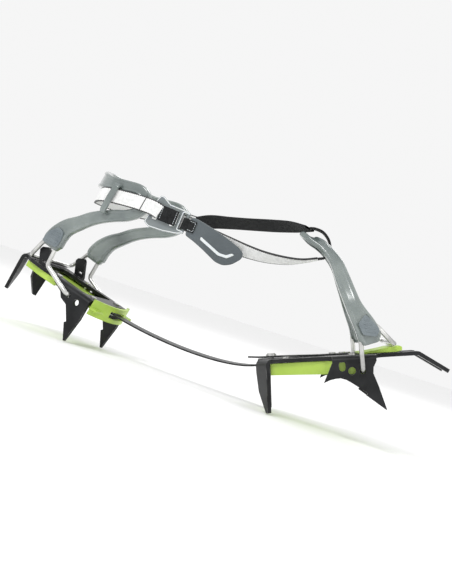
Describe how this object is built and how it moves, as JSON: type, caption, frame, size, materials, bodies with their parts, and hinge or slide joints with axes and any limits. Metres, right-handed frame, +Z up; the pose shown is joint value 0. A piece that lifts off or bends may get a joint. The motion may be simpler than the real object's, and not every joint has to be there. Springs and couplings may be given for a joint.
{
  "type": "strap-on crampon",
  "caption": "Strap-on boot crampon: two folded steel point plates joined by a flexible link bar, with wire bails, soft plastic cradles and a buckled strap.",
  "frame": {"origin": "on the floor under the middle of the whole crampon, which stands on four of its points", "axes": "+X towards the toe, +Y towards the side away from the buckle, +Z up from the floor"},
  "size_m": [0.3888, 0.1758, 0.1555],
  "materials": {
    "steel_black": "satin black coating with worn edges",
    "steel_bright": "bright drawn wire",
    "lime_plastic": "smooth moulded",
    "grey_rubber": "satin soft plastic",
    "pale_grey": "satin",
    "web_black": "ribbed woven tape",
    "web_white": "flat woven tape"
  },
  "bodies": {
    "toe": {"toe_frame": "steel_black", "toe_snow_plate": "lime_plastic", "toe_plate_rivets": "steel_bright", "lock_spring_rivets": "steel_bright"},
    "lock": {"lock_spring": "steel_black", "lock_pin": "steel_bright"},
    "guide": {"bar_guide": "steel_bright"},
    "bar": {"link_bar": "steel_black"},
    "heel": {"heel_frame": "steel_black", "heel_snow_plate": "lime_plastic", "heel_plate_rivets": "steel_bright", "bar_clip": "pale_grey"},
    "toe_harness": {"toe_bail": "steel_bright", "toe_basket": "grey_rubber", "toe_arm_pads": "pale_grey", "strap_toe_loop": "web_black"},
    "heel_harness": {"heel_bail": "steel_bright", "heel_basket": "grey_rubber", "heel_arm_pads": "pale_grey", "strap_heel_wrap": "web_white", "strap_buckle_loop": "web_black", "buckle": "grey_rubber", "strap_near_strand": "web_white", "strap_far_strand": "web_black"},
    "tab": {"pull_tab": "pale_grey", "tab_webbing": "web_black"}
  },
  "joints": [
    {"name": "toe_bail_swing", "type": "hinge", "parent": "toe", "child": "toe_harness", "pos_m": [0.12675, -0.03603, 0.05603], "axis": [0, 1, 0], "range_deg": [-40, 0]},
    {"name": "heel_bail_swing", "type": "hinge", "parent": "heel", "child": "heel_harness", "pos_m": [-0.1168, 0.03466, 0.03919], "axis": [0.3746, 0.9272, 0], "range_deg": [0, 35], "deforming": ["strap_near_strand", "strap_far_strand"]},
    {"name": "lock_lift", "type": "hinge", "parent": "toe", "child": "lock", "pos_m": [0.09412, -0.03603, 0.05732], "axis": [0, 1, 0], "range_deg": [0, 5], "stiffness_Nm_per_rad": 1.5, "deforming": ["lock_spring"]},
    {"name": "bar_swivel", "type": "hinge", "parent": "toe", "child": "guide", "pos_m": [0.05817, -0.03603, 0.03656], "axis": [-0.3584, 0, 0.9336], "range_deg": [0, 44]},
    {"name": "bar_slide", "type": "slide", "parent": "guide", "child": "bar", "axis": [0.8735, -0.3529, 0.3353], "range_m": [-0.024, 0.008]},
    {"name": "bar_flex", "type": "hinge", "parent": "bar", "child": "heel", "pos_m": [-0.02269, -0.00341, 0.02611], "axis": [0.3746, 0.9272, 0], "range_deg": [-4, 12], "stiffness_Nm_per_rad": 7, "deforming": ["link_bar"]},
    {"name": "pull_tab_lift", "type": "hinge", "parent": "heel_harness", "child": "tab", "pos_m": [-0.04711, -0.02484, 0.12673], "axis": [-0.0869, 0.0061, -0.9962], "range_deg": [0, 65]}
  ]
}
